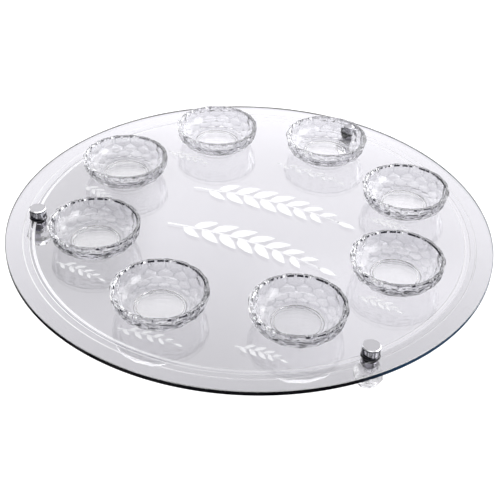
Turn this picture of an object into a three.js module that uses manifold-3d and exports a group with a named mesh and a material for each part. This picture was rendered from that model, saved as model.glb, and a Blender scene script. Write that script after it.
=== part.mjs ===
// A round glass serving plate for a festive table. It stands on three standoff legs and
// carries eight loose pressed-glass bowls in a ring.
//
// Millimetres, +Z up. The origin is on the table top, under the centre of the plate.
// The viewer's side is -Y. Angles are in degrees, counted from +X towards +Y.

import * as THREE from "three";
import { mergeVertices } from "three/addons/utils/BufferGeometryUtils.js";
import Module from "manifold-3d";

const wasm = await Module();
wasm.setup();

// Plate: a flat disc with polished edges. A shallow ground band and a fine line run
// round its underside, near the edge.
const plateRadius = 200;
const plateThickness = 4;
const plateChamfer = 0.5;
const bandInset = 22.7;
const bandWidth = 4.1;
const lineInset = 13.8;
const lineWidth = 0.8;
const bandDepth = 0.25;
const plateSegments = 96;

// Standoff legs: each clamps the plate between two washers. They stand about a third of
// a turn apart on one circle, and outward is how far the drilling of the glass is off it.
const legPlaces = {
  front_right: { angle: -60.8, outward: 3.5 },
  back_right: { angle: 59.6, outward: 0 },
  left: { angle: 181.8, outward: -2.9 },
};
const legInset = 21.5;
const capRadius = 6.8;
const capHeight = 8.6;
const capChamfer = 0.4;
const washerRadius = 7.2;
const washerThickness = 0.8;
const collarRadius = 5.8;
const collarHeight = 5.3;
const collarChamfer = 0.4;
const studRadius = 3;
const studInCap = 5;
const studInFoot = 5;
const legSegments = 24;

// Crystal foot: eight-sided, widest at its belt, flat where it stands
const footSides = 8;
const footHeight = 15.3;
const footBaseRadius = 7.8;
const footBeltRadius = 11.5;
const footBeltHeight = 7;
const footTopRadius = 8;

// Clearances
const stackGap = 0.1;
const studSideClearance = 0.15;
const studEndClearance = 0.5;
const glassHoleClearance = 0.6;
const bowlSeatGap = 0.2;

// Bowls: round, with rows of six-sided facets outside and a ring to stand on. They are
// loose and set down by hand, so each lies a little off the circle they share.
const bowlPlaces = [
  { angle: 14.4, outward: 3 },
  { angle: 59.8, outward: -0.3 },
  { angle: 105.2, outward: -1.8 },
  { angle: 149.7, outward: -3 },
  { angle: 196.6, outward: -2.9 },
  { angle: 241.3, outward: 1.7 },
  { angle: 286.1, outward: 2.6 },
  { angle: 329.5, outward: 1.1 },
];
const bowlToWasher = 2.8;
const bowlRadius = 36.7;
const bowlHeight = 19.8;
const bowlWall = 3.3;
const rimRound = 0.8;
// How full the wall's curve is: 2 is a quarter of an ellipse, more is nearer a square
const wallFullness = 2.4;
const floorThickness = 3.2;
const floorRadius = 16;
const ringRadius = 20;
const ringHeight = 1.6;
const ringWidth = 2.6;
const ringTaper = 0.4;
const recessDepth = 1.2;
const facetsAround = 16;
const facetHollow = 0.2;
const innerWallSteps = 4;
// Where the zigzag edges between facet rows lie on the wall's curve, as the angle from
// the rim (0) to the standing ring (90), and how far each zigzag swings either way
const facetEdges = [
  { angle: 72, swing: 4 },
  { angle: 50, swing: 4 },
  { angle: 28, swing: 4 },
];

// Heights of the stack, from the table upwards
const collarBottom = footHeight + stackGap;
const lowerWasherBottom = collarBottom + collarHeight + stackGap;
const plateBottom = lowerWasherBottom + washerThickness + stackGap;
const plateTop = plateBottom + plateThickness;
const upperWasherBottom = plateTop + stackGap;
const capBottom = upperWasherBottom + washerThickness + stackGap;

const legCircle = plateRadius - legInset;
const bowlCircle = legCircle - washerRadius - bowlToWasher - bowlRadius;
const socketRadius = studRadius + studSideClearance;

// Finishes: colour, roughness and metalness
const finishes = {
  plateGlass: { color: 0xe3e5ea, roughness: 0.03, metalness: 0 },
  bowlGlass: { color: 0xe9ebee, roughness: 0.04, metalness: 0 },
  crystal: { color: 0xeef0f4, roughness: 0.03, metalness: 0 },
  chrome: { color: 0xc9cace, roughness: 0.08, metalness: 1 },
  steel: { color: 0x9a9ca2, roughness: 0.35, metalness: 1 },
  rubber: { color: 0x1b1c20, roughness: 0.7, metalness: 0 },
};

const radians = (degrees) => THREE.MathUtils.degToRad(degrees);

// The [x, y] of a place that lies a little outward of a circle round the plate's centre
function onCircle(circleRadius, { angle, outward }) {
  const radius = circleRadius + outward;
  return [radius * Math.cos(radians(angle)), radius * Math.sin(radians(angle))];
}

// Geometry helpers

// Turns a closed outline of [radius, height] points round the Z axis. The outline runs
// anticlockwise: out along the bottom, up the outside and back in along the top.
function turned(outline, segments) {
  const points = outline.map(([radius, height]) => new THREE.Vector2(radius, height));
  return new THREE.LatheGeometry(points, segments).rotateX(Math.PI / 2);
}

// A washer, collar or other plain ring with optional chamfers on its outer edges
function ring(outer, inner, height, chamfer = 0) {
  const side = chamfer > 0
    ? [[outer - chamfer, 0], [outer, chamfer], [outer, height - chamfer], [outer - chamfer, height]]
    : [[outer, 0], [outer, height]];
  return turned([[inner, 0], ...side, [inner, height], [inner, 0]], legSegments);
}

function cylinder(radius, bottom, top) {
  const shape = new THREE.CylinderGeometry(radius, radius, top - bottom, legSegments);
  return shape.rotateX(Math.PI / 2).translate(0, 0, (bottom + top) / 2);
}

function toSolid(geometry) {
  const bare = geometry.clone();
  bare.deleteAttribute("normal");
  bare.deleteAttribute("uv");
  const merged = mergeVertices(bare);
  const corners = merged.index.array;
  const kept = [];
  for (let i = 0; i < corners.length; i += 3) {
    const [a, b, c] = corners.slice(i, i + 3);
    if (a !== b && b !== c && c !== a) kept.push(a, b, c);
  }
  return new wasm.Manifold(new wasm.Mesh({
    numProp: 3,
    vertProperties: new Float32Array(merged.attributes.position.array),
    triVerts: new Uint32Array(kept),
  }));
}

function toGeometry(solid) {
  const mesh = solid.getMesh();
  const geometry = new THREE.BufferGeometry();
  geometry.setAttribute("position", new THREE.BufferAttribute(mesh.vertProperties, 3));
  geometry.setIndex(new THREE.BufferAttribute(mesh.triVerts, 1));
  return geometry;
}

function piece(name, geometry, finish) {
  const mesh = new THREE.Mesh(geometry, new THREE.MeshStandardMaterial(finish));
  mesh.name = name;
  return mesh;
}

// A closed surface built from level rings of points, each ring the same count around.
// Rings run from the bottom centre outwards, up the outside, and back in over the top.
class RingSurface {
  constructor(around) {
    this.around = around;
    this.points = [];
    this.faces = [];
  }

  addPoint(radius, angle, height) {
    this.points.push(radius * Math.cos(angle), radius * Math.sin(angle), height);
    return this.points.length / 3 - 1;
  }

  // radiusAndHeight gives [radius, height] for each step around; turn shifts the whole
  // ring by that many steps
  addRing(radiusAndHeight, turn = 0) {
    const row = [];
    for (let step = 0; step < this.around; step += 1) {
      const [radius, height] = radiusAndHeight(step);
      row.push(this.addPoint(radius, (2 * Math.PI * (step + turn)) / this.around, height));
    }
    return row;
  }

  at(row, step) {
    return row[(step + this.around) % this.around];
  }

  band(lower, upper) {
    for (let step = 0; step < this.around; step += 1) {
      const [a, b] = [this.at(lower, step), this.at(lower, step + 1)];
      const [c, d] = [this.at(upper, step + 1), this.at(upper, step)];
      this.faces.push(a, b, d, b, c, d);
    }
  }

  // Closes the surface onto one point on the axis; facing is 1 for up and -1 for down
  lid(row, height, facing) {
    const centre = this.addPoint(0, 0, height);
    for (let step = 0; step < this.around; step += 1) {
      this.faces.push(centre, this.at(row, step), this.at(row, step + facing));
    }
  }

  // One row of facets between two zigzag rings, each facet two steps wide and hollowed
  // a little towards the axis at its middle
  facetRow(lower, upper, firstStep, hollow) {
    for (let step = firstStep; step < this.around; step += 2) {
      const edge = [
        this.at(lower, step - 1), this.at(lower, step), this.at(lower, step + 1),
        this.at(upper, step + 1), this.at(upper, step), this.at(upper, step - 1),
      ];
      const mean = new THREE.Vector3();
      for (const corner of edge) {
        mean.add(new THREE.Vector3().fromArray(this.points, corner * 3).divideScalar(edge.length));
      }
      const radius = Math.hypot(mean.x, mean.y) - hollow;
      const middle = this.addPoint(radius, Math.atan2(mean.y, mean.x), mean.z);
      edge.forEach((corner, i) => {
        this.faces.push(middle, corner, edge[(i + 1) % edge.length]);
      });
    }
  }

  geometry() {
    const geometry = new THREE.BufferGeometry();
    geometry.setAttribute("position", new THREE.Float32BufferAttribute(this.points, 3));
    geometry.setIndex(this.faces);
    return geometry;
  }
}

// Glass plate

// A shallow groove in the plate's underside, from its inner wall to its outer one
function groove(inner, width) {
  return [
    [inner, plateBottom], [inner, plateBottom + bandDepth],
    [inner + width, plateBottom + bandDepth], [inner + width, plateBottom],
  ];
}

function plateGeometry() {
  const blank = turned([
    [0, plateBottom],
    ...groove(plateRadius - bandInset, bandWidth),
    ...groove(plateRadius - lineInset, lineWidth),
    [plateRadius - plateChamfer, plateBottom],
    [plateRadius, plateBottom + plateChamfer],
    [plateRadius, plateTop - plateChamfer],
    [plateRadius - plateChamfer, plateTop],
    [0, plateTop],
  ], plateSegments);
  let plate = toSolid(blank);
  for (const place of Object.values(legPlaces)) {
    const hole = cylinder(studRadius + glassHoleClearance, plateBottom - 1, plateTop + 1);
    hole.translate(...onCircle(legCircle, place), 0);
    plate = plate.subtract(toSolid(hole));
  }
  return toGeometry(plate);
}

// Standoff legs

// A turned cap with a blind socket for the stud, open at the bottom
function capGeometry() {
  const socketTop = studInCap + studEndClearance;
  return turned([
    [0, socketTop],
    [socketRadius, socketTop],
    [socketRadius, 0],
    [capRadius, 0],
    [capRadius, capHeight - capChamfer],
    [capRadius - capChamfer, capHeight],
    [0, capHeight],
  ], legSegments);
}

// The crystal is cut with triangular facets: its belt corners stand half a side round
// from the corners above and below
function footGeometry() {
  const crystal = new RingSurface(footSides);
  const base = crystal.addRing(() => [footBaseRadius, 0]);
  const belt = crystal.addRing(() => [footBeltRadius, footBeltHeight], 0.5);
  const top = crystal.addRing(() => [footTopRadius, footHeight], 1);
  crystal.lid(base, 0, -1);
  crystal.band(base, belt);
  crystal.band(belt, top);
  crystal.lid(top, footHeight, 1);
  const bore = cylinder(socketRadius, footHeight - studInFoot - studEndClearance, footHeight + 1);
  return toGeometry(toSolid(crystal.geometry()).subtract(toSolid(bore)));
}

function leg(name, place) {
  const stud = cylinder(studRadius, footHeight - studInFoot, capBottom + studInCap);
  const collar = ring(collarRadius, socketRadius, collarHeight, collarChamfer);
  const washerInside = studRadius + glassHoleClearance;
  const lowerWasher = ring(collarRadius, washerInside, washerThickness);
  const upperWasher = ring(washerRadius, washerInside, washerThickness);
  const parts = [
    [`${name}_crystal_foot`, footGeometry(), finishes.crystal, 0],
    [`${name}_collar`, collar, finishes.chrome, collarBottom],
    [`${name}_lower_washer`, lowerWasher, finishes.rubber, lowerWasherBottom],
    [`${name}_upper_washer`, upperWasher, finishes.rubber, upperWasherBottom],
    [`${name}_stud`, stud, finishes.steel, 0],
    [`${name}_cap`, capGeometry(), finishes.chrome, capBottom],
  ];
  const group = new THREE.Group();
  for (const [partName, geometry, finish, height] of parts) {
    const mesh = piece(partName, geometry, finish);
    mesh.position.z = height;
    group.add(mesh);
  }
  group.position.set(...onCircle(legCircle, place), 0);
  return group;
}

// Bowls

// A point on a wall that curves down from vertical at the rim to level at the foot
function wallPoint(angle, rimAt, footAt) {
  const [rimRadius, rimHeight] = rimAt;
  const [footRadius, footHeightOnWall] = footAt;
  const across = Math.cos(radians(angle)) ** (2 / wallFullness);
  const down = Math.sin(radians(angle)) ** (2 / wallFullness);
  return [
    footRadius + (rimRadius - footRadius) * across,
    footHeightOnWall + (rimHeight - footHeightOnWall) * (1 - down),
  ];
}

function bowlGeometry() {
  const bowl = new RingSurface(2 * facetsAround);
  const innerRadius = bowlRadius - bowlWall;
  const shoulder = bowlHeight - rimRound;
  const plain = (radius, height) => bowl.addRing(() => [radius, height]);

  // Underside: a recess inside the standing ring
  const recess = plain(ringRadius - ringWidth, recessDepth);
  const ringRows = [
    plain(ringRadius - ringWidth, 0),
    plain(ringRadius - ringTaper, 0),
    plain(ringRadius, ringHeight),
  ];
  bowl.lid(recess, recessDepth, -1);
  bowl.band(recess, ringRows[0]);
  bowl.band(ringRows[0], ringRows[1]);
  bowl.band(ringRows[1], ringRows[2]);

  // Outside: facet rows between zigzag edges, each row half a facet round from the next
  let lower = ringRows[2];
  facetEdges.forEach(({ angle, swing }, row) => {
    const highParity = row % 2;
    const upper = bowl.addRing((step) => {
      const sway = step % 2 === highParity ? -swing : swing;
      return wallPoint(angle + sway, [bowlRadius, shoulder], [ringRadius, ringHeight]);
    });
    bowl.facetRow(lower, upper, highParity, facetHollow);
    lower = upper;
  });
  const rimOuter = plain(bowlRadius, shoulder);
  bowl.facetRow(lower, rimOuter, facetEdges.length % 2, facetHollow);

  // Rim and inside: a rounded lip, then a smooth wall down to a flat floor
  const lip = [
    rimOuter,
    plain(bowlRadius - rimRound, bowlHeight),
    plain(innerRadius + rimRound, bowlHeight),
  ];
  bowl.band(lip[0], lip[1]);
  bowl.band(lip[1], lip[2]);
  let above = lip[2];
  for (let step = 0; step <= innerWallSteps; step += 1) {
    const angle = (90 * step) / innerWallSteps;
    const point = wallPoint(angle, [innerRadius, shoulder], [floorRadius, floorThickness]);
    const row = plain(...point);
    bowl.band(above, row);
    above = row;
  }
  bowl.lid(above, floorThickness, 1);
  return bowl.geometry();
}

// Assembly

const assembly = new THREE.Group();
assembly.name = "serving_plate";
assembly.add(piece("glass_plate", plateGeometry(), finishes.plateGlass));

for (const [name, place] of Object.entries(legPlaces)) assembly.add(leg(name, place));

const bowlShape = bowlGeometry();
bowlPlaces.forEach((place, i) => {
  const bowl = piece(`bowl_${i + 1}`, bowlShape.clone(), finishes.bowlGlass);
  bowl.position.set(...onCircle(bowlCircle, place), plateTop + bowlSeatGap);
  assembly.add(bowl);
});

export default assembly;
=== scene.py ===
"""A clear glass serving plate on three crystal legs, with eight loose faceted glass bowls.

Metres, +Z up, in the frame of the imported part: the origin is on the table top, under
the centre of the plate, and the viewer stands on the -Y side. Lengths of the glassware
are written in millimetres and multiplied by MM where a mesh is made.
"""

import math

import bpy
import numpy as np
from mathutils import Matrix, Vector


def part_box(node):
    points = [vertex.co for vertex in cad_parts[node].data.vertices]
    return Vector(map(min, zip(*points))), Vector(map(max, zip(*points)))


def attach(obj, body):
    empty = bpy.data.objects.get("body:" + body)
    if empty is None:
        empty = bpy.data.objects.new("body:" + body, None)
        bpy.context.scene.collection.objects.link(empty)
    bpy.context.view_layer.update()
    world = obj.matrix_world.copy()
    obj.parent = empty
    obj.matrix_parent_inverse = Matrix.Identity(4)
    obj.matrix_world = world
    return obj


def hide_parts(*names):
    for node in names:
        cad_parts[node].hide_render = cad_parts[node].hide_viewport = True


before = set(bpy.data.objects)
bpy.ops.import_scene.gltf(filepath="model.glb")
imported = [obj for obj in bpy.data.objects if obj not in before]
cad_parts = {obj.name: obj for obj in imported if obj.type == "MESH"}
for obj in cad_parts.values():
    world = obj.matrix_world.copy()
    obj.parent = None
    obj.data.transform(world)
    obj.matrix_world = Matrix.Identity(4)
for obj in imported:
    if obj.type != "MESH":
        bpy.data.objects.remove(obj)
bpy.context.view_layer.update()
scene = bpy.context.scene
scene.view_settings.view_transform = "Standard"
MM = 0.001


# Camera
# A short tele lens looks down at the plate from the viewer's side, a little rolled, as
# if the tripod head was not quite level.

lens_length = 73.5275
sensor_width = 36.0
look_down = math.radians(36.5288)
camera_roll = math.radians(2.2348)
camera_place = Vector((0.648, -697.586, 513.298)) * MM

sight = Vector((0, math.cos(look_down), -math.sin(look_down)))
level_right = Vector((1, 0, 0))
level_up = level_right.cross(sight)
rolled_right = math.cos(camera_roll) * level_right + math.sin(camera_roll) * level_up
rolled_up = math.cos(camera_roll) * level_up - math.sin(camera_roll) * level_right

camera_data = bpy.data.cameras.new("camera")
camera_data.lens = lens_length
camera_data.sensor_width = sensor_width
camera_data.clip_start = 0.01
camera_data.clip_end = 50
camera = bpy.data.objects.new("camera", camera_data)
scene.collection.objects.link(camera)
camera.matrix_world = Matrix.Translation(camera_place) @ Matrix(
    (rolled_right, rolled_up, -sight)
).transposed().to_4x4()
scene.camera = camera


# Table and studio
# A white table that glows a little, so that the glass over it looks evenly grey, in a
# dark room with soft boxes round it. Mirrored light finds bright and dark patches on the
# table, which draw the rims and facets. The camera sees plain white with a soft shadow.


class Signal:
    """One output socket, so that shader maths can be written as Python."""

    def __init__(self, finish, socket):
        self.finish = finish
        self.socket = socket

    def maths(self, operation, *values):
        sockets = dict(enumerate(values))
        return self.finish.node("ShaderNodeMath", {"operation": operation}, sockets)

    def __add__(self, other):
        return self.maths("ADD", self, other)

    def __sub__(self, other):
        return self.maths("SUBTRACT", self, other)

    def __rsub__(self, other):
        return self.maths("SUBTRACT", other, self)

    def __mul__(self, other):
        return self.maths("MULTIPLY", self, other)

    def __truediv__(self, other):
        return self.maths("DIVIDE", self, other)

    def __abs__(self):
        return self.maths("ABSOLUTE", self)

    __radd__ = __add__
    __rmul__ = __mul__

    def root(self):
        return self.maths("SQRT", self)

    def either(self, other):
        """The larger of two masks."""
        return self.maths("MAXIMUM", self, other)

    def ease(self, low, high):
        """0 below low, 1 above high, and a smooth rise between. The ends may be swapped."""
        settings = {"interpolation_type": "SMOOTHSTEP"}
        if low < high:
            return self.finish.node("ShaderNodeMapRange", settings, {0: self, 1: low, 2: high})
        return 1 - self.finish.node("ShaderNodeMapRange", settings, {0: self, 1: high, 2: low})


class Finish:
    """The node tree of a material or of the world, built one node at a time."""

    def __init__(self, owner):
        owner.use_nodes = True
        self.owner = owner
        self.tree = owner.node_tree
        self.tree.nodes.clear()

    def node(self, kind, settings=None, sockets=None, output=0):
        """Adds a node: settings are its properties, sockets its values or links, and
        output names the socket that is handed back."""
        added = self.tree.nodes.new(kind)
        for name, value in (settings or {}).items():
            setattr(added, name, value)
        for name, value in (sockets or {}).items():
            socket = added.inputs[name]
            if isinstance(value, Signal):
                self.tree.links.new(value.socket, socket)
            else:
                socket.default_value = value
        return Signal(self, added.outputs[output] if added.outputs else None)

    def split(self, vector):
        """The X, Y and Z of a vector, as three signals."""
        parts = self.node("ShaderNodeSeparateXYZ", {}, {0: vector}).socket.node
        return [Signal(self, output) for output in parts.outputs]

    def own_place(self):
        """The place on the object, in the object's own space."""
        return self.node("ShaderNodeTexCoord", output="Object")

    def ray(self, question):
        """What Light Path says of the ray that has come here."""
        return self.node("ShaderNodeLightPath", output=question)

    def mirrored_before(self):
        """1 where the ray was mirrored at least once on its way, else 0."""
        return self.ray("Glossy Depth").ease(0.2, 0.8)

    def noise(self, dimensions, sockets):
        return self.node("ShaderNodeTexNoise", {"noise_dimensions": dimensions}, sockets)

    def principled(self, sockets):
        return self.node("ShaderNodeBsdfPrincipled", {}, sockets)

    def mix_colour(self, share, first, second):
        colours = {0: share, 6: first, 7: second}
        return self.node("ShaderNodeMix", {"data_type": "RGBA"}, colours, output=2)

    def mix_shader(self, share, first, second):
        return self.node("ShaderNodeMixShader", {}, {0: share, 1: first, 2: second})

    def surface(self, shader, volume=None):
        """Ends a material, and hands it back."""
        sockets = {"Surface": shader}
        if volume is not None:
            sockets["Volume"] = volume
        self.node("ShaderNodeOutputMaterial", {}, sockets)
        return self.owner


def material(name):
    return Finish(bpy.data.materials.new(name))


table_size = 6.0
table_below_object = 0.2
table_white = 0.42
white_behind_glass = 0.08
white_in_mirrors = 0.02
satin_white = 0.08
satin_roughness = 0.25

glow_to_camera = 0.8
glow_colour = (1.0, 0.985, 1.045, 1)
brightest_glow = 1.2
glow_in_front = 0.5
more_glow_in_middle = 0.32
more_glow_at_back = 0.2
more_glow_at_front_right = 0.15
dimmed_at_left = 0.3
# The ring cut in the plate, as the camera sees it laid on the table below and beyond it
ring_on_table = 0.188
ring_softness = 0.0016
ring_beyond = 0.031

patch_scale = 60
patch_dark = 0.02
patch_light = 0.86
fewer_patches_by_left_leg = 0.8

table_finish = material("white_table")
across_table, along_table, _ = table_finish.split(table_finish.own_place())

glow = glow_in_front + more_glow_in_middle * along_table.ease(-0.2, 0.08)
glow = glow + more_glow_at_back * along_table.ease(0.1, 0.25)
along_ring = along_table - ring_beyond
from_ring_centre = across_table * across_table + along_ring * along_ring
inside_ring = from_ring_centre.ease((ring_on_table + ring_softness) ** 2, ring_on_table**2)
at_left = inside_ring * across_table.ease(-0.07, -0.12) * along_table.ease(0.2, 0.1)
at_left = at_left * along_table.ease(-0.12, -0.03)
at_front_right = across_table.ease(-0.02, 0.07) * along_table.ease(0.02, -0.06) * inside_ring
glow = glow * (1 - dimmed_at_left * at_left) + more_glow_at_front_right * at_front_right

patches = table_finish.noise(
    "3D", {"Vector": table_finish.own_place(), "Scale": patch_scale, "Detail": 2}
)
by_left_leg = across_table.ease(-0.145, -0.155)
lit_patches = patches.ease(0.46, 0.52) * (1 - fewer_patches_by_left_leg * by_left_leg)


def matt(white):
    return table_finish.node("ShaderNodeBsdfDiffuse", {}, {"Color": (white, white, white, 1)})


def both(first, second):
    return table_finish.node("ShaderNodeAddShader", {}, {0: first, 1: second})


def lit(strength):
    """Light of the table's own tint, of a strength that varies over the table."""
    colour = table_finish.mix_colour(strength / brightest_glow, (0, 0, 0, 1), glow_colour)
    sockets = {"Color": colour, "Strength": brightest_glow}
    return table_finish.node("ShaderNodeEmission", {}, sockets)


satin = table_finish.node(
    "ShaderNodeBsdfGlossy",
    {},
    {"Color": (satin_white, satin_white, satin_white, 1), "Roughness": satin_roughness},
)
shown_to_camera = both(
    table_finish.node("ShaderNodeEmission", {}, {"Strength": glow_to_camera}), matt(table_white)
)
shown_in_glass = table_finish.mix_shader(
    table_finish.mirrored_before(),
    both(lit(glow), matt(white_behind_glass)),
    both(lit(patch_dark + patch_light * lit_patches), both(satin, matt(white_in_mirrors))),
)
seen_in_glass = table_finish.ray("Is Glossy Ray").either(table_finish.ray("Is Transmission Ray"))
table_finish.surface(
    table_finish.mix_shader(
        table_finish.ray("Is Camera Ray"),
        table_finish.mix_shader(seen_in_glass, matt(table_white), shown_in_glass),
        shown_to_camera,
    )
)

half = table_size / 2
table_mesh = bpy.data.meshes.new("table_top")
table_mesh.from_pydata(
    [(-half, -half, 0), (half, -half, 0), (half, half, 0), (-half, half, 0)],
    [],
    [(0, 1, 2, 3)],
)
table_mesh.materials.append(table_finish.owner)
table_top = bpy.data.objects.new("table_top", table_mesh)
scene.collection.objects.link(table_top)
table_top.location.z = -table_below_object * MM

dark_room = 0.03
brightest_box = 16.0
window = Vector((0.985, 0.17))
lamp = Vector((0.76, -0.2, 0.62)).normalized()

world = bpy.data.worlds.new("studio_room")
scene.world = world
room = Finish(world)
across, along, up = room.split(room.node("ShaderNodeTexCoord", output="Generated"))
to_left, to_front = -1 * across, -1 * along
to_window = across * window.x + along * window.y
to_lamp = across * lamp.x + along * lamp.y + up * lamp.z
# The strength of each soft box, and the directions in which it stands
soft_boxes = {
    "ceiling": (1.0, up.ease(0.55, 0.8) * along.ease(0.35, -0.05)),
    "right": (3.2, to_window.ease(0.55, 0.7) * up.ease(0.7, 0.6)),
    "back": (2.0, along.ease(0.35, 0.5) * up.ease(0.3, 0.38) * up.ease(0.9, 0.72)),
    "horizon": (3.0, along.ease(0.25, 0.4) * up.ease(0.24, 0.2)),
    "left": (0.6, to_left.ease(0.6, 0.75) * up.ease(0.65, 0.55)),
    "front": (0.35, to_front.ease(0.3, 0.7) * up.ease(0.9, 0.6)),
    "strip": (3.5, to_front.ease(0.28, 0.36) * up.ease(0.77, 0.79) * up.ease(0.86, 0.84)),
    "lamp": (3.5, to_lamp.ease(0.93, 0.99)),
}
room_light = sum((strength * mask for strength, mask in soft_boxes.values()), dark_room)
white_room = room.node("ShaderNodeBackground", {}, {"Color": (1, 1, 1, 1)})
lit_room = room.node(
    "ShaderNodeBackground", {}, {"Color": room_light / brightest_box, "Strength": brightest_box}
)
seen_room = room.mix_shader(room.ray("Is Camera Ray"), lit_room, white_room)
room.node("ShaderNodeOutputWorld", {}, {"Surface": seen_room})

box_place = Vector((-0.5, 0.3, 1.7))
box_light = bpy.data.lights.new("soft_box_above", "AREA")
box_light.shape = "RECTANGLE"
box_light.size = 0.9
box_light.size_y = 0.9
box_light.energy = 3
box_above = bpy.data.objects.new("soft_box_above", box_light)
scene.collection.objects.link(box_above)
box_above.location = box_place
box_above.rotation_euler = (-box_place).to_track_quat("-Z", "Y").to_euler()

# Light bounces many times inside cut glass before it comes out again
scene.cycles.max_bounces = 32
scene.cycles.glossy_bounces = 16
scene.cycles.transmission_bounces = 32


# Glass plate
# A disc of 4 mm float glass with a ground and polished edge. A shallow frosted band and
# a fine line are cut round its underside. Its edge and bevel bear painted shade, as dark as
# the glass looks along its thickness, and its rings and bevel some painted light.

plate_low, plate_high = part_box("glass_plate")
plate_top = plate_high.z / MM
plate_bottom = plate_low.z / MM
plate_radius = plate_high.x / MM
around_plate = 384
top_bevel, bottom_bevel = 0.45, 0.15
# The edge colours are painted shade, for how dark the glass looks along its thickness
painted_edge_shade = (0.0005, 0.0005, 0.002, 1)
painted_edge_shade_at_right = (0.008, 0.03, 0.066, 1)
# The bevel bears painted shade, and a painted highlight in front
painted_bevel_shade = 0.9
painted_bevel_highlight_in_front = 0.3
# The band's grey at the left is painted shade
painted_band_shade_at_left = (0.66, 0.66, 0.69, 1)
band_whiteness = 0.05
line_whiteness = 0.85
# The frosted rings are made whiter at the left by painted light
painted_ring_light_at_right = 0.3
ring_shine = 0.18
band_inner, band_outer = 177.3, 181.4
line_inner, line_outer = 185.8, 186.6
band_slope, line_slope = 0.25, 0.2
cut_depth = 0.12
glass_index = 1.5
lamp_light_let_through = (0.95, 0.95, 0.95, 1)


def skin(name, points, faces, crease_degrees=None):
    """A mesh over points in metres. With an angle it is shaded smooth, and creased where
    its faces meet at a sharper one."""
    mesh = bpy.data.meshes.new(name)
    mesh.from_pydata(points, [], faces)
    mesh.validate()
    if crease_degrees is not None:
        mesh.polygons.foreach_set("use_smooth", [True] * len(mesh.polygons))
        mesh.set_sharp_from_angle(angle=math.radians(crease_degrees))
    return mesh


def turned_mesh(name, outline, around, closed=True):
    """Turns [radius, height] points, given in millimetres, about the Z axis. Points on
    the axis close the shape."""
    rows, points, faces = [], [], []
    for radius, height in outline:
        if radius == 0:
            rows.append([len(points)] * around)
            points.append((0, 0, height * MM))
            continue
        rows.append(list(range(len(points), len(points) + around)))
        for step in range(around):
            turn = 2 * math.pi * step / around
            points.append(
                (radius * math.cos(turn) * MM, radius * math.sin(turn) * MM, height * MM)
            )
    if closed:
        rows.append(rows[0])
    for below, above in zip(rows, rows[1:]):
        for step in range(around):
            after = (step + 1) % around
            corners = (below[step], below[after], above[after], above[step])
            corners = tuple(dict.fromkeys(corners))
            if len(corners) > 2:
                faces.append(corners)
    return skin(name, points, faces, 25)


def place_piece(name, mesh, finish, body, place=(0, 0, 0), replaces=None):
    """Makes a mesh into a piece at a place in millimetres, riding on a body."""
    piece = bpy.data.objects.new(name, mesh)
    scene.collection.objects.link(piece)
    piece.location = Vector(place) * MM
    if not mesh.materials:
        mesh.materials.append(finish)
    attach(piece, body)
    if replaces:
        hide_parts(replaces)
    return piece


def clear_glass(name, colour, absorbs, density, wavy=None, layers=None, tint=None, seen_past=0):
    """Clear glass. Its faces tint the light by a colour, or by tint where that gives one,
    and its body takes out what absorbs lacks, more of it the denser it is. Lamps shine on
    through it, so that it leaves a pale shadow. layers gives masks and shaders for what
    lies on the glass, and seen_past is the share of light that goes straight on."""
    glass = material(name)
    sockets = {
        "Base Color": (*colour, 1) if tint is None else tint(glass, colour),
        "Roughness": 0.0,
        "IOR": glass_index,
        "Transmission Weight": 1.0,
    }
    if wavy is not None:
        sockets["Normal"] = wavy(glass)
    thin = glass.node("ShaderNodeBsdfTransparent", {}, {"Color": lamp_light_let_through})
    lamp_or_bounce = glass.ray("Is Shadow Ray").either(glass.ray("Is Diffuse Ray"))
    shader = glass.mix_shader(lamp_or_bounce.either(seen_past), glass.principled(sockets), thin)
    for mask, layer in layers(glass) if layers is not None else ():
        shader = glass.mix_shader(mask, shader, layer)
    depth = glass.node(
        "ShaderNodeVolumeAbsorption", {}, {"Color": (*absorbs, 1), "Density": density}
    )
    return glass.surface(shader, depth)


def shining_white(glass, colour, shine):
    """A dull white that gives off a little light of its own."""
    sockets = {"Base Color": (*colour, 1), "Roughness": 1.0}
    sockets |= {"Emission Color": (1, 1, 1, 1), "Emission Strength": shine}
    return glass.principled(sockets)


def from_axis(finish):
    """X, Y and Z in the object's own space, and the millimetres from its Z axis."""
    x, y, z = finish.split(finish.own_place())
    return x, y, z, (x * x + y * y).root() / MM


def on_underside(z):
    return z.ease((plate_bottom + 0.5) * MM, (plate_bottom + 0.4) * MM)


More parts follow.
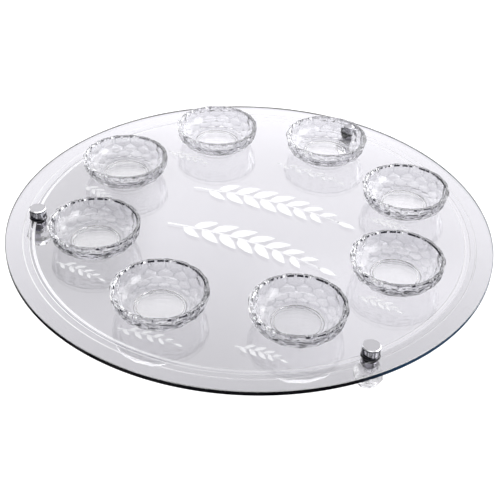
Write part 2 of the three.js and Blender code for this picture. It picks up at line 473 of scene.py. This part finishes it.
def plate_layers(glass):
    """The polished edge is painted near black as painted shade, a little less at the back,
    and bluer towards the right. The bevel above it bears painted shade too, but a painted
    highlight in front. The rings on the underside are frosted white, with painted light that
    makes them whiter towards the left: a faint band between two borders, and a line outside it."""
    x, y, z, radius = from_axis(glass)
    _, _, upward = glass.split(glass.node("ShaderNodeNewGeometry", output="Normal"))
    level = abs(upward)
    on_edge = radius.ease(plate_radius - 0.3, plate_radius - 0.1) * level.ease(0.3, 0.2)
    on_edge = on_edge * (0.85 + 0.15 * y.ease(0.05, -0.1))
    on_bevel = radius.ease(plate_radius - 0.6, plate_radius - 0.4)
    on_bevel = on_bevel * level.ease(0.5, 0.65) * level.ease(0.9, 0.8)
    in_front = y.ease(-0.06, -0.12)
    dark = on_edge.either(painted_bevel_shade * on_bevel * (1 - in_front))
    shade = glass.mix_colour(x.ease(0.075, 0.115), painted_edge_shade, painted_edge_shade_at_right)
    edge = glass.principled({"Base Color": shade, "Roughness": 0.25, "Specular IOR Level": 0.05})

    band = radius.ease(band_inner - 0.3, band_inner) * radius.ease(band_outer + 0.3, band_outer)
    inner_border = 1 - abs(radius - band_inner - 0.5).ease(0.9, 1.4)
    outer_border = 1 - abs(radius - band_outer + 0.3).ease(0.2, 0.6)
    line = 1 - abs(radius - (line_inner + line_outer) / 2).ease(0.4, 0.9)
    borders = inner_border.either(outer_border).either(line_whiteness * line)
    at_left = x.ease(0.0, -0.13)
    borders = borders * (painted_ring_light_at_right + (1 - painted_ring_light_at_right) * at_left)
    light = on_underside(z) * (band_whiteness * band).either(borders)
    light = light.either(painted_bevel_highlight_in_front * on_bevel * in_front)
    return (dark, edge), (light, shining_white(glass, (0.93, 0.93, 0.94), ring_shine))


def ground_band(glass, colour):
    """The ground band scatters light, and is painted greyer towards the left as painted shade."""
    x, _, z, radius = from_axis(glass)
    band = radius.ease(band_inner, band_inner + 0.3) * radius.ease(band_outer + 0.3, band_outer)
    grey = band * on_underside(z) * x.ease(0.02, -0.1)
    return glass.mix_colour(grey, (*colour, 1), painted_band_shade_at_left)


def cut_ring(inner, outer, slope):
    """The outline of a shallow ring cut in the underside."""
    return [
        (inner - slope, plate_bottom),
        (inner, plate_bottom + cut_depth),
        (outer, plate_bottom + cut_depth),
        (outer + slope, plate_bottom),
    ]


plate_outline = [
    (0, plate_bottom),
    *cut_ring(band_inner, band_outer, band_slope),
    *cut_ring(line_inner, line_outer, line_slope),
    (plate_radius - bottom_bevel, plate_bottom),
    (plate_radius, plate_bottom + bottom_bevel),
    (plate_radius, plate_top - top_bevel),
    (plate_radius - top_bevel, plate_top),
    (0, plate_top),
]
plate_glass = clear_glass(
    "plate_glass",
    colour=(0.98, 0.98, 0.985),
    absorbs=(0.26, 0.25, 0.3),
    density=60,
    layers=plate_layers,
    tint=ground_band,
)
place_piece(
    "clear_plate",
    turned_mesh("clear_plate", plate_outline, around_plate, closed=False),
    plate_glass,
    "stand",
    replaces="glass_plate",
)


# White leaf sprigs
# Leafy twigs in white enamel, fired onto the top of the plate: two large ones in the
# middle, and a small one in thinner enamel beside each bowl.

enamel_colour = (0.73, 0.73, 0.75, 1)
enamel_roughness = 0.45
enamel_thickness = 0.04
enamel_gap = 0.01
leaf_angle = math.radians(44)
leaf_curl = 0.16
leaf_steps = 14
stem_steps = 40


def enamel(name, cover):
    """White enamel that covers a share of what lies behind it."""
    finish = material(name)
    sockets = {"Base Color": enamel_colour, "Roughness": enamel_roughness, "Alpha": cover}
    return finish.surface(finish.principled(sockets))


def add_film(points, faces, left_rail, right_rail):
    """Adds a thin closed slab between two rails of points in the plate's plane."""
    first = len(points)
    low = plate_top + enamel_gap
    for height in (low, low + enamel_thickness):
        for rail in (left_rail, right_rail):
            points += [(x * MM, y * MM, height * MM) for x, y in rail]
    count = len(left_rail)
    lower_left, lower_right, upper_left, upper_right = (
        [first + side * count + i for i in range(count)] for side in range(4)
    )
    for i in range(count - 1):
        faces.append((lower_left[i], lower_left[i + 1], lower_right[i + 1], lower_right[i]))
        faces.append((upper_left[i], upper_right[i], upper_right[i + 1], upper_left[i + 1]))
        faces.append((lower_left[i], upper_left[i], upper_left[i + 1], lower_left[i + 1]))
        faces.append((lower_right[i], lower_right[i + 1], upper_right[i + 1], upper_right[i]))
    faces.append((lower_left[0], lower_right[0], upper_right[0], upper_left[0]))
    faces.append((lower_left[-1], upper_left[-1], upper_right[-1], lower_right[-1]))


def add_ribbon(points, faces, middle, half_widths):
    """A film along a line of points, with half its width at each."""
    lines = [Vector(point) for point in middle]
    left, right = [], []
    for i, half_width in enumerate(half_widths):
        along_line = lines[min(i + 1, len(lines) - 1)] - lines[max(i - 1, 0)]
        sideways = Vector((-along_line.y, along_line.x)).normalized() * half_width
        left.append(lines[i] + sideways)
        right.append(lines[i] - sideways)
    add_film(points, faces, left, right)


def add_leaf(points, faces, foot, direction, length, width, curl):
    """A pointed leaf that curls a little to one side."""
    sideways = Vector((-direction.y, direction.x))
    middle, half_widths = [], []
    for i in range(leaf_steps + 1):
        share = i / leaf_steps
        middle.append(foot + direction * (length * share) + sideways * (curl * share * share))
        fullness = math.sin(math.pi * share**0.8) ** 0.9
        half_widths.append(max(0.02, 0.5 * width * fullness))
    add_ribbon(points, faces, middle, half_widths)


def add_sprig(points, faces, start, end, bow, leaf_pairs, leaf_length, leaf_width, stem_width):
    """A bowed stem with leaves in turn on either side and one at its tip."""
    start, end = Vector(start), Vector(end)
    chord = end - start
    sideways = Vector((-chord.y, chord.x)).normalized()

    def on_stem(share):
        return start + chord * share + sideways * (4 * bow * share * (1 - share))

    shares = [i / stem_steps for i in range(stem_steps + 1)]
    half_widths = [stem_width * (0.65 - 0.4 * share) for share in shares]
    add_ribbon(points, faces, [on_stem(share) for share in shares], half_widths)
    for leaf in range(2 * leaf_pairs):
        share = 0.1 + 0.82 * leaf / (2 * leaf_pairs)
        heading = (on_stem(share + 0.02) - on_stem(share)).normalized()
        side = 1 if leaf % 2 else -1
        direction = Matrix.Rotation(side * leaf_angle, 2) @ heading
        size = 0.72 + 0.5 * math.sin(math.pi * min(1, share + 0.12))
        add_leaf(
            points,
            faces,
            on_stem(share) + direction * (0.6 * stem_width),
            direction,
            leaf_length * size,
            leaf_width * size,
            -side * leaf_curl * leaf_length,
        )
    tip = (on_stem(1) - on_stem(0.98)).normalized()
    add_leaf(points, faces, on_stem(0.99), tip, 0.9 * leaf_length, 0.8 * leaf_width, 0)


def place_sprigs(name, stems, finish, **shape):
    """Makes the sprigs along some stems into one piece, fixed to the plate."""
    points, faces = [], []
    for start, end in stems:
        add_sprig(points, faces, start, end, **shape)
    place_piece(name, skin(name, points, faces), finish, "stand")


place_sprigs(
    "centre_sprigs",
    (((-50, 49), (74, 4)), ((-68, -6), (56, -60))),
    enamel("white_enamel", 0.92),
    bow=7,
    leaf_pairs=7,
    leaf_length=19,
    leaf_width=7.5,
    stem_width=1.7,
)
small_stems = (
    ((-150.6, -65.0), (-114, -83.5)),
    ((-93.2, -140.3), (-50, -155)),
    ((-7.4, -154.7), (25, -167)),
    ((84.1, -92.7), (112, -108)),
    ((100, 12), (127, -1)),
    ((22.1, 94.9), (77, 66)),
    ((-78.1, 108.4), (-45, 91.5)),
    ((-145.8, 46.1), (-121, 26)),
)
place_sprigs(
    "small_sprigs",
    small_stems,
    enamel("thin_enamel", 0.6),
    bow=1.5,
    leaf_pairs=4,
    leaf_length=7.5,
    leaf_width=2.8,
    stem_width=0.8,
)


# Bowls
# Each is a small pressed-glass dish, 73 mm across and loose on the plate. Rows of
# six-sided, slightly hollow facets run round the outside, the inside is smooth, the lip
# is rounded in the fire, and the bowl stands on a moulded ring.

bowl_radius = 36.7
bowl_height = 19.8
bowl_wall = 3.3
wall_fullness = 2.4
rim_round = 0.8
rim_drop = 0.2
floor_radius = 16
floor_thickness = 3.2
foot_ring_radius = 20
foot_ring_height = 1.6
foot_ring_width = 2.6
foot_recess = 1.2
shoulder = bowl_height - rim_round
lip_outer = bowl_radius
lip_inner = bowl_radius - bowl_wall
# The rim and the foot of the outer and of the inner wall
outer_wall = ((bowl_radius, shoulder), (foot_ring_radius, foot_ring_height))
inner_wall = ((lip_inner, shoulder), (floor_radius, floor_thickness))

facets_around = 16
# Rows of facets: the angle of each row's middle on the wall (0 at the rim, 90 at the
# foot ring), and how deep its facets are cut into the round wall
facet_rows = [(13, 0.85), (39, 0.62), (61, 0.57), (81, 0.5)]
facet_hollow = 0.4
facet_size = 6.5
facet_reach = 0.2
out_of_reach = -9.0
ridge_softness = 0.08
ridge_width = 0.22

steps_per_facet = 14
wall_steps = 52
inside_steps = 30
around_bowl = facets_around * steps_per_facet
turns = np.arange(around_bowl) * 2 * math.pi / around_bowl
# Each bowl is turned by some degrees, so that no two show the same facets
bowl_turns = [0.0, 7.0, 3.5, 11.0, 5.0, 9.0, 2.0, 6.5]


def wall_curve(angle, rim_at, foot_at):
    """Radius, height and outward direction on a wall that curves from upright at the rim
    to level at the foot."""
    wide, tall = rim_at[0] - foot_at[0], rim_at[1] - foot_at[1]
    power = 2 / wall_fullness
    across_wall, down_wall = math.cos(angle), math.sin(angle)
    radius = foot_at[0] + wide * across_wall**power
    height = foot_at[1] + tall * (1 - down_wall**power)
    outward = Vector((tall * across_wall ** (2 - power), -wide * down_wall ** (2 - power)))
    return radius, height, outward.normalized()


def facet_cut(spots, normals):
    """How far each spot on the round wall is cut back to lie on the facets, and how near
    it is to a ridge between two of them, from 0 to 1."""
    cuts = [np.zeros(spots.shape[:-1])]
    for row, (degrees, depth) in enumerate(facet_rows):
        radius, height, outward = wall_curve(math.radians(degrees), *outer_wall)
        for facet in range(facets_around):
            turn = 2 * math.pi * (facet + 0.5 * (row % 2)) / facets_around
            facing = np.array(
                (outward[0] * math.cos(turn), outward[0] * math.sin(turn), outward[1])
            )
            middle = np.array((radius * math.cos(turn), radius * math.sin(turn), height))
            middle = middle - depth * facing
            lean = np.maximum(normals @ facing, facet_reach)
            proud = (spots - middle) @ facing
            apart = np.linalg.norm(spots - middle - proud[..., None] * facing, axis=-1)
            hollow = facet_hollow * (1 - (apart / facet_size) ** 2)
            in_reach = normals @ facing > facet_reach
            cuts.append(np.where(in_reach, (proud + hollow) / lean, out_of_reach))
    stack = np.array(cuts) / ridge_softness
    second, highest = np.sort(stack[1:], axis=0)[-2:]
    cut = ridge_softness * (highest + np.log(np.exp(stack - highest).sum(axis=0)))
    ridge = np.exp(-(((highest - second) * ridge_softness / ridge_width) ** 2))
    return cut, ridge


def level_ring(radius, height):
    return radius * np.ones(around_bowl), height * np.ones(around_bowl)


def around_axis(out, up):
    """Places or directions at every turn, from how far out and how far up they go."""
    return np.stack((out * np.cos(turns), out * np.sin(turns), up * np.ones(around_bowl)), -1)


def waves(*parts):
    """Waves round the lip, from the count, size and phase of each."""
    return sum(size * np.sin(count * turns + phase) for count, size, phase in parts)


def bowl_rings():
    """Rings of (radius, height) from the bottom centre, up the outside, and back inside,
    and the nearness of each of their points to a ridge."""
    ring_inner = foot_ring_radius - foot_ring_width
    foot_ring = (
        (ring_inner - 0.15, foot_recess),
        (ring_inner, foot_recess - 0.15),
        (ring_inner + 0.2, 0.3),
        (ring_inner + 0.6, 0),
        (foot_ring_radius - 0.8, 0),
        (foot_ring_radius - 0.25, 0.3),
        (foot_ring_radius, foot_ring_height),
    )
    rings = [level_ring(radius, height) for radius, height in foot_ring]
    ridges = [np.zeros(around_bowl)] * len(rings)

    angles = np.radians(np.linspace(88.5, 0, wall_steps))
    spots, normals = [], []
    for angle in angles:
        radius, height, outward = wall_curve(angle, *outer_wall)
        spots.append(around_axis(radius, height))
        normals.append(around_axis(*outward))
    spots, normals = np.array(spots), np.array(normals)
    near_foot = np.clip((np.radians(88) - angles) / math.radians(8), 0, 1)[:, None]
    near_foot = near_foot * near_foot * (3 - 2 * near_foot)
    cut, ridge = facet_cut(spots, normals)
    for ring in spots - normals * (cut * near_foot)[..., None]:
        rings.append((np.hypot(ring[:, 0], ring[:, 1]), ring[:, 2]))
    ridges += list(ridge * near_foot)

    # The lip is not quite even, neither in width nor in height
    wave = waves((16, 0.12, 0.6), (37, 0.09, 0), (53, 0.08, 4), (89, 0.05, 2))
    dip = rim_drop + waves((32, 0.08, 1), (61, 0.06, 3), (83, 0.05, 5))
    outer_rim, rim_at = rings[-1]
    lip = [(share, outer_rim, rim_at, -rim_round) for share in (0.35, 0.7, 1)]
    lip += [(share, lip_inner, shoulder, rim_round) for share in (1, 0.7, 0.35)]
    for share, radius, height, inward in lip:
        bend = math.radians(90 * share)
        radius = radius + inward * (1 - math.cos(bend)) + share * wave
        rings.append((radius, height + rim_round * math.sin(bend) - share * dip))

    for angle in np.radians(np.linspace(0, 88, inside_steps)):
        radius, height, _ = wall_curve(angle, *inner_wall)
        rings.append(level_ring(radius, height))
    rings.append(level_ring(floor_radius - 2, floor_thickness))
    ridges += [np.zeros(around_bowl)] * (len(rings) - len(ridges))
    return rings, ridges


def ringed_mesh(name, rings, bottom, top):
    """A closed skin over rings of (radius, height), in millimetres, with a point on the
    axis at each end."""
    count = around_bowl
    points = [
        (radius[i] * math.cos(turn) * MM, radius[i] * math.sin(turn) * MM, height[i] * MM)
        for radius, height in rings
        for i, turn in enumerate(turns)
    ]
    faces = []
    for ring in range(len(rings) - 1):
        for i in range(count):
            after = (i + 1) % count
            low, high = ring * count, (ring + 1) * count
            faces.append((low + i, low + after, high + after, high + i))
    points += [(0, 0, bottom * MM), (0, 0, top * MM)]
    last = (len(rings) - 1) * count
    for i in range(count):
        after = (i + 1) % count
        faces.append((len(points) - 2, after, i))
        faces.append((len(points) - 1, last + i, last + after))
    return skin(name, points, faces, 35)


wave_depth = 0.5
slow_waves = 0.06
quick_waves_at_lip = 1.5


def fire_polish(glass):
    """Slight waves left in the glass by the mould and the fire, finer near the lip."""
    where = glass.own_place()
    slow, quick = (
        glass.noise("3D", {"Vector": where, "Scale": scale, "Detail": 1.5, "Roughness": 0.4})
        for scale in (160, 260)
    )
    _, _, z = glass.split(where)
    heights = slow_waves * slow + quick_waves_at_lip * quick * (z / MM).ease(14, 18)
    return glass.node("ShaderNodeBump", {}, {"Distance": wave_depth * MM, "Height": heights})


def bowl_place(glass):
    """How far to the right and to the back of the plate's centre the bowl stands."""
    return glass.split(glass.node("ShaderNodeObjectInfo", output="Location"))[:2]


# The ridge colour and the front-right floor colour are painted shade
painted_ridge_shade = (0.55, 0.55, 0.58, 1)
floor_colour = (1, 1, 1, 1)
painted_floor_shade_at_front_right = (0.84, 0.84, 0.85, 1)


def wall_tint_and_painted_shade(glass, colour):
    """The wall and, more so, the ridges between its facets are painted darker than the clear
    floor, as painted shade for the light they bend away. The floor bears painted shade in
    the bowls at the front right."""
    ridge = glass.node("ShaderNodeAttribute", {"attribute_name": "ridge"}, output="Fac")
    wall = glass.mix_colour(ridge, (*colour, 1), painted_ridge_shade)
    bowl_across, bowl_along = bowl_place(glass)
    at_front_right = bowl_across.ease(-0.08, 0.03) * bowl_along.ease(-0.03, -0.12)
    floor = glass.mix_colour(at_front_right, floor_colour, painted_floor_shade_at_front_right)
    _, _, _, radius = from_axis(glass)
    return glass.mix_colour(radius.ease(21, 18), wall, floor)


# The black and white dashes and grey ring lines are painted reflections, highlights and shade
painted_dark_reflection = (0.012, 0.012, 0.02, 1)
painted_lip_highlight = (0.95, 0.95, 0.96)
painted_highlight_glow = 0.2
# The strips along both edges of the lip that bear the painted dashes of reflection
dash_width = 0.8
dashes_from_height = 18.2
painted_streak_shade = 0.8
painted_marks_on_far_bowls = 0.35
painted_ring_shade_inside, painted_ring_shade_outside = 0.38, 0.25


def painted_lip_reflections(glass):
    """Painted dark reflections: short black dashes along both edges of the lip and round the
    wall under it, fewer of them on the left, where the lip bears a painted highlight of white
    light instead, and on the bowls further back. Thin grey lines of painted shade follow the
    standing ring."""
    x, y, z, radius = from_axis(glass)
    height = z / MM
    _, bowl_along = bowl_place(glass)
    inner_edge = radius.ease(lip_inner - 0.1, lip_inner)
    inner_edge = inner_edge * radius.ease(lip_inner + dash_width, lip_inner + dash_width - 0.1)
    inner_edge = inner_edge * height.ease(dashes_from_height, dashes_from_height + 0.3)
    outer_edge = radius.ease(lip_outer - dash_width, lip_outer - dash_width + 0.1)
    outer_edge = outer_edge * height.ease(dashes_from_height, dashes_from_height + 0.2)
    edges = outer_edge.either(inner_edge)
    around = y.maths("ARCTAN2", y, x) + 0.4 * outer_edge
    dashes = glass.noise("1D", {"W": around, "Scale": 4.5, "Detail": 4, "Roughness": 0.6})
    dark = (dashes + 1.5 * x + 0.05 * y.ease(0.0, 0.02)).ease(0.53, 0.55)
    light = (dashes + 3.2 * x).ease(0.39, 0.37)

    front_wall = height.ease(9.5, 11.0) * height.ease(17.0, 16.6) * radius.ease(33.6, 34.2)
    front_wall = front_wall * y.ease(0.004, -0.012)
    unrolled = glass.node("ShaderNodeCombineXYZ", {}, {0: 7 * around, 1: 0.55 * height})
    streaks = glass.noise("2D", {"Vector": unrolled, "Scale": 1, "Detail": 2})
    streaks = front_wall * streaks.ease(0.56, 0.6)
    near_viewer = bowl_along.ease(0.1, 0.02)
    painted_dark_marks = (dark * edges).either(painted_streak_shade * streaks)
    painted_dark_marks = painted_dark_marks * (painted_marks_on_far_bowls + (1 - painted_marks_on_far_bowls) * near_viewer)

    ring_inside = height.ease(1.3, 1.1) * radius.ease(17.1, 17.3) * radius.ease(18.2, 17.9)
    ring_outside = height.ease(1.5, 1.3) * radius.ease(19.1, 19.4)
    painted_dark_marks = painted_dark_marks.either(painted_ring_shade_inside * ring_inside)
    painted_dark_marks = painted_dark_marks.either(painted_ring_shade_outside * ring_outside)
    black = glass.principled(
        {"Base Color": painted_dark_reflection, "Roughness": 0.3, "Specular IOR Level": 0.2}
    )
    return (painted_dark_marks, black), (light * edges, shining_white(glass, painted_lip_highlight, painted_highlight_glow))


# The arc is a painted highlight that glows
arc_height = 18.1
arc_thickness = 1.7
arc_half_length = 0.022
painted_arc_glow = 22.0
# Where the middle of the arc lies, from how far to the right the bowl stands
arc_spread = 1.1755
arc_shift = 0.00145


def painted_mirrored_arc(glass):
    """A painted highlight that glows: the two bowls in front bear a white arc low under the
    lip, for a lamp they would catch, which shows only where the plate's underside mirrors
    them, and nowhere else."""
    _, _, z, radius = from_axis(glass)
    bowl_across, bowl_along = bowl_place(glass)
    across_room, along_room, _ = glass.split(
        glass.node("ShaderNodeNewGeometry", output="Position")
    )
    reach = (across_room - arc_spread * bowl_across + arc_shift) / arc_half_length
    arc = arc_thickness * (1 - reach * reach) - abs(z / MM - arc_height)
    in_front = (along_room - bowl_along).ease(-0.01, -0.015) * radius.ease(33.6, 34.2)
    arc = arc.ease(0.0, 0.3) * in_front * bowl_along.ease(-0.09, -0.1)
    crossed = glass.ray("Transmission Depth")
    under_plate = crossed.ease(1.2, 1.8) * crossed.ease(2.8, 2.2)
    from_inside = glass.node("ShaderNodeNewGeometry", output="Backfacing")
    arc = arc * glass.mirrored_before() * under_plate * (1 - from_inside)
    sockets = {"Color": (1, 1, 1, 1), "Strength": painted_arc_glow}
    return arc, glass.node("ShaderNodeEmission", {}, sockets)


def bowl_layers(glass):
    return *painted_lip_reflections(glass), painted_mirrored_arc(glass)


bowl_glass = clear_glass(
    "bowl_glass",
    colour=(0.86, 0.86, 0.875),
    absorbs=(0.33, 0.33, 0.38),
    density=12,
    wavy=fire_polish,
    tint=wall_tint_and_painted_shade,
    layers=bowl_layers,
)
rings, ridges = bowl_rings()
bowl_mesh = ringed_mesh("faceted_bowl", rings, foot_recess, floor_thickness)
ridge_values = bowl_mesh.attributes.new("ridge", "FLOAT", "POINT")
ridge_values.data.foreach_set("value", np.append(np.concatenate(ridges), (0, 0)))
for number, degrees in enumerate(bowl_turns, start=1):
    low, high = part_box(f"bowl_{number}")
    bowl = place_piece(
        f"faceted_bowl_{number}",
        bowl_mesh,
        bowl_glass,
        f"loose_bowl_{number}",
        ((low.x + high.x) / 2 / MM, (low.y + high.y) / 2 / MM, low.z / MM),
        replaces=f"bowl_{number}",
    )
    bowl.rotation_euler.z = math.radians(degrees)


# Standoff caps and collars
# Turned brass, chrome plated: a cap with a satin top and a bright grooved side, screwed
# onto the steel stud that passes through the plate, and a collar below it. Black rubber
# washers keep the metal off the glass.

cap_radius = 6.8
cap_bevel = 0.5
cap_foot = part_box("left_cap")[0].z / MM
# The cap side's grey and its dark marks are painted shade and painted dark reflections
painted_cap_side_grey = (0.6, 0.6, 0.63, 1)
painted_cap_dark_reflection = (0.02, 0.02, 0.03, 1)
cap_top_colour = (0.35, 0.345, 0.365, 1)
satin_roughness_added = 0.25
lower_groove_depth, upper_groove_depth = 0.6, 0.5
stud_bore = 3.15
stud_bore_depth = 5.5
washer_bore = 3.6
collar_radius = 5.8
collar_bevel = 0.4
small_bevel = 0.2
groove_slope = 0.1
around_leg = 72


def bright_metal(name, colour, roughness, painted_look=None):
    """Polished metal. A painted look gives it a colour, which may hold painted light and
    shade, and a roughness that vary over it.
    """
    metal = material(name)
    sockets = {"Base Color": (*colour, 1), "Metallic": 1.0, "Roughness": roughness}
    if painted_look is not None:
        sockets |= painted_look(metal, colour, roughness)
    return metal.surface(metal.principled(sockets))


def cap_satin_and_painted_reflections(metal, colour, roughness):
    """Satin where the cap looks straight up. Its side is painted greyer than the bevel,
    bears painted shade in the grooves, and painted dark reflections of the room: an edge at
    the left, a crescent and a blotch."""
    _, _, upward = metal.split(metal.node("ShaderNodeNewGeometry", output="Normal"))
    satin_top = upward.ease(0.9, 0.99)
    x, _, z, radius = from_axis(metal)
    x, height = x / MM, z / MM - cap_foot
    grooves = radius.ease(cap_radius - 0.2, cap_radius - 0.4)
    left_edge = x.ease(-4.8, -5.6) * height.ease(7.4, 7.0)
    crescent = (height + 0.36 * x).ease(2.5, 2.0)
    blotch = x.ease(5.0, 5.4) * height.ease(2.2, 2.6) * height.ease(5.0, 4.6)
    painted_cap_marks = left_edge.either(crescent).either(blotch).either(grooves)
    side = metal.mix_colour(painted_cap_marks, painted_cap_side_grey, painted_cap_dark_reflection)
    side = metal.mix_colour(upward.ease(0.3, 0.5), side, (*colour, 1))
    return {
        "Base Color": metal.mix_colour(satin_top, side, cap_top_colour),
        "Roughness": roughness + satin_roughness_added * satin_top,
    }


def turned_groove(depth, low, high):
    """The outline of a groove turned in the cap's side between two heights."""
    return [
        (cap_radius, low),
        (cap_radius - depth, low + groove_slope),
        (cap_radius - depth, high - groove_slope),
        (cap_radius, high),
    ]


def put_on_leg(name, outline, finish, centre, replaces, closed=True):
    mesh = turned_mesh(name, outline, around_leg, closed)
    place_piece(name, mesh, finish, "stand", centre, replaces)


chrome = bright_metal("chrome", (0.78, 0.78, 0.8), 0.14, cap_satin_and_painted_reflections)
rubber_finish = material("washer_rubber")
rubber = rubber_finish.surface(
    rubber_finish.principled({"Base Color": (0.015, 0.015, 0.018, 1), "Roughness": 0.5})
)
collar_chrome = bright_metal("collar_chrome", (0.32, 0.31, 0.34), 0.12)
stud_steel = bright_metal("stud_steel", (0.7, 0.7, 0.72), 0.2)

for leg in ("front_right", "back_right", "left"):
    low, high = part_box(f"{leg}_cap")
    centre = ((low.x + high.x) / 2 / MM, (low.y + high.y) / 2 / MM, 0)
    bottom, top = low.z / MM, high.z / MM
    cap_outline = [
        (0, bottom + stud_bore_depth),
        (stud_bore, bottom + stud_bore_depth),
        (stud_bore, bottom),
        (cap_radius - small_bevel, bottom),
        (cap_radius, bottom + small_bevel),
        *turned_groove(lower_groove_depth, bottom + 1.4, bottom + 2.1),
        *turned_groove(upper_groove_depth, top - 1.6, top - 0.8),
        (cap_radius, top - cap_bevel),
        (cap_radius - cap_bevel, top),
        (0, top),
    ]
    put_on_leg(
        f"{leg}_turned_cap", cap_outline, chrome, centre, f"{leg}_cap", closed=False
    )
    low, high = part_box(f"{leg}_collar")
    bottom, top = low.z / MM, high.z / MM
    collar_outline = [
        (stud_bore, bottom),
        (collar_radius - collar_bevel, bottom),
        (collar_radius, bottom + collar_bevel),
        (collar_radius, top - collar_bevel),
        (collar_radius - collar_bevel, top),
        (stud_bore, top),
    ]
    put_on_leg(
        f"{leg}_turned_collar", collar_outline, collar_chrome, centre, f"{leg}_collar"
    )
    for level in ("lower", "upper"):
        low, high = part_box(f"{leg}_{level}_washer")
        bottom, top = low.z / MM, high.z / MM
        radius = (high.x - low.x) / 2 / MM
        washer_outline = [
            (washer_bore, bottom),
            (radius - small_bevel, bottom),
            (radius, bottom + small_bevel),
            (radius, top - small_bevel),
            (radius - small_bevel, top),
            (washer_bore, top),
        ]
        put_on_leg(
            f"{leg}_{level}_rubber_washer",
            washer_outline,
            rubber,
            centre,
            f"{leg}_{level}_washer",
        )
    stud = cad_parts[f"{leg}_stud"]
    stud.data.materials.clear()
    stud.data.materials.append(stud_steel)


# Crystal feet
# Solid cut crystal with triangular facets, widest at a belt of corners, held under the
# plate by the stud that is sunk into its top. The stud's image is a painted reflection in
# the middle of the upper facets: a pale one in the front leg, and a dark one in the other two.

crystal_colour = (0.99, 0.99, 0.995)
crystal_absorbs = (0.5, 0.5, 0.55)
crystal_density = 3
# The stud's pale and dark images in the crystal are painted reflections
painted_pale_stud_image = (0.8, 0.8, 0.82, 1)
painted_dark_stud_image = (0.05, 0.045, 0.08, 1)


def cut_crystal(name, centre, painted_stud_image, seen_past):
    """Crystal with a painted image of the stud, whose axis stands at centre."""

    def painted_image_of_stud(glass, colour):
        x, _, z = glass.split(glass.own_place())
        image = abs(x / MM - centre).ease(2.8, 2.2) * (z / MM).ease(4, 5)
        return glass.mix_colour(image, (*colour, 1), painted_stud_image)

    return clear_glass(
        name,
        crystal_colour,
        crystal_absorbs,
        crystal_density,
        tint=painted_image_of_stud,
        seen_past=seen_past,
    )


for leg, painted_stud_image, seen_past in (
    ("front_right", painted_pale_stud_image, 0.35),
    ("back_right", painted_dark_stud_image, 0.1),
    ("left", painted_dark_stud_image, 0.0),
):
    low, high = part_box(f"{leg}_crystal_foot")
    centre = (low.x + high.x) / 2 / MM
    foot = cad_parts[f"{leg}_crystal_foot"]
    foot.data.materials.clear()
    foot.data.materials.append(cut_crystal(f"{leg}_crystal", centre, painted_stud_image, seen_past))
